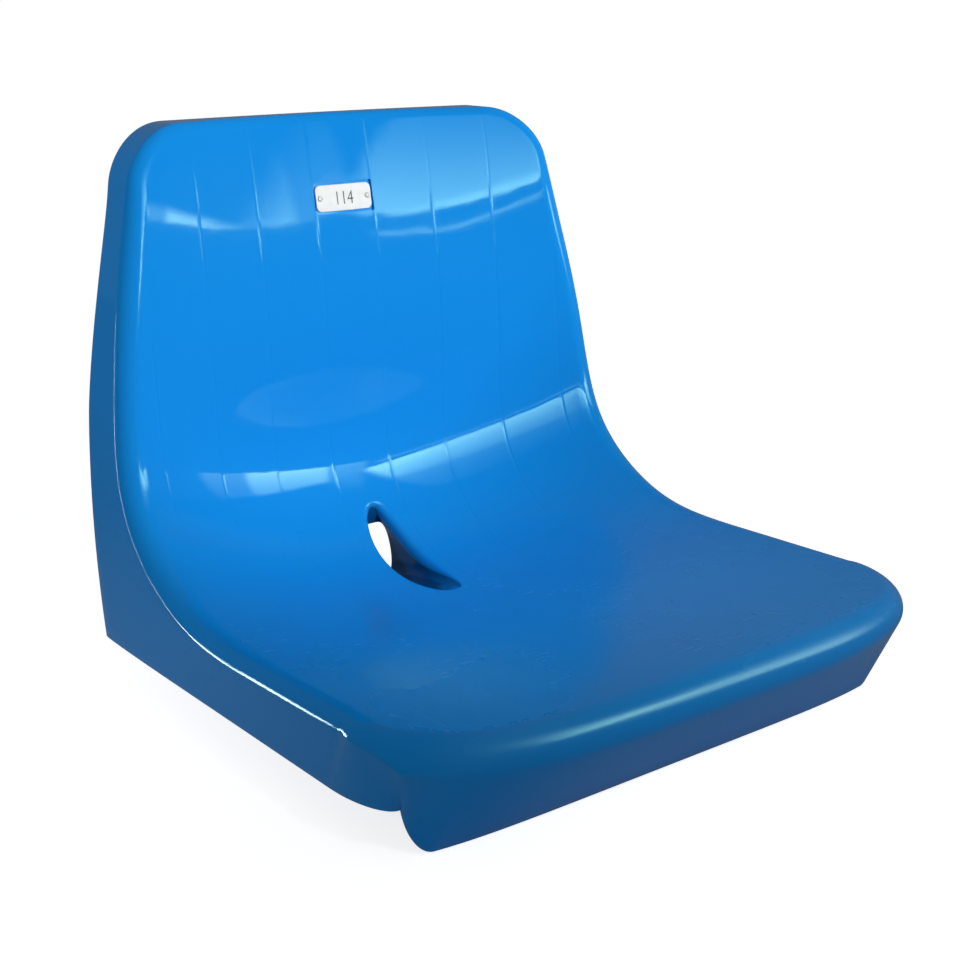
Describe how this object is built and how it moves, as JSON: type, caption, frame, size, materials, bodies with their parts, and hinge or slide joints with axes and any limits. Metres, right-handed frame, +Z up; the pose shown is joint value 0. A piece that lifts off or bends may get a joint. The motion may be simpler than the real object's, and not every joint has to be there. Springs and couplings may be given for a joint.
{
  "type": "stadium seat",
  "caption": "Moulded plastic stadium seat shell with a rolled rim, a dished pan, a drain slot with a rear spout, a ribbed underside with threaded fixing bosses and a riveted number plate.",
  "frame": {"origin": "under the middle of the seat, level with the lower edge of the front apron", "axes": "+X towards the right of someone who looks at the seat's front, -Y towards the front lip, +Z up"},
  "size_m": [0.4396, 0.4333, 0.377],
  "materials": {
    "shell_plastic": "bright blue moulded plastic with a gloss surface and faint moulding marks",
    "plate_plastic": "white plastic plate with dark digits",
    "rivet_metal": "plain aluminium blind rivet",
    "insert_metal": "turned brass"
  },
  "bodies": {
    "root": {"seat_shell": "shell_plastic", "insert_front_left": "insert_metal", "insert_front_right": "insert_metal", "insert_rear_left": "insert_metal", "insert_rear_right": "insert_metal", "number_plate": "plate_plastic", "plate_rivet_left": "rivet_metal", "plate_rivet_right": "rivet_metal"}
  },
  "joints": []
}
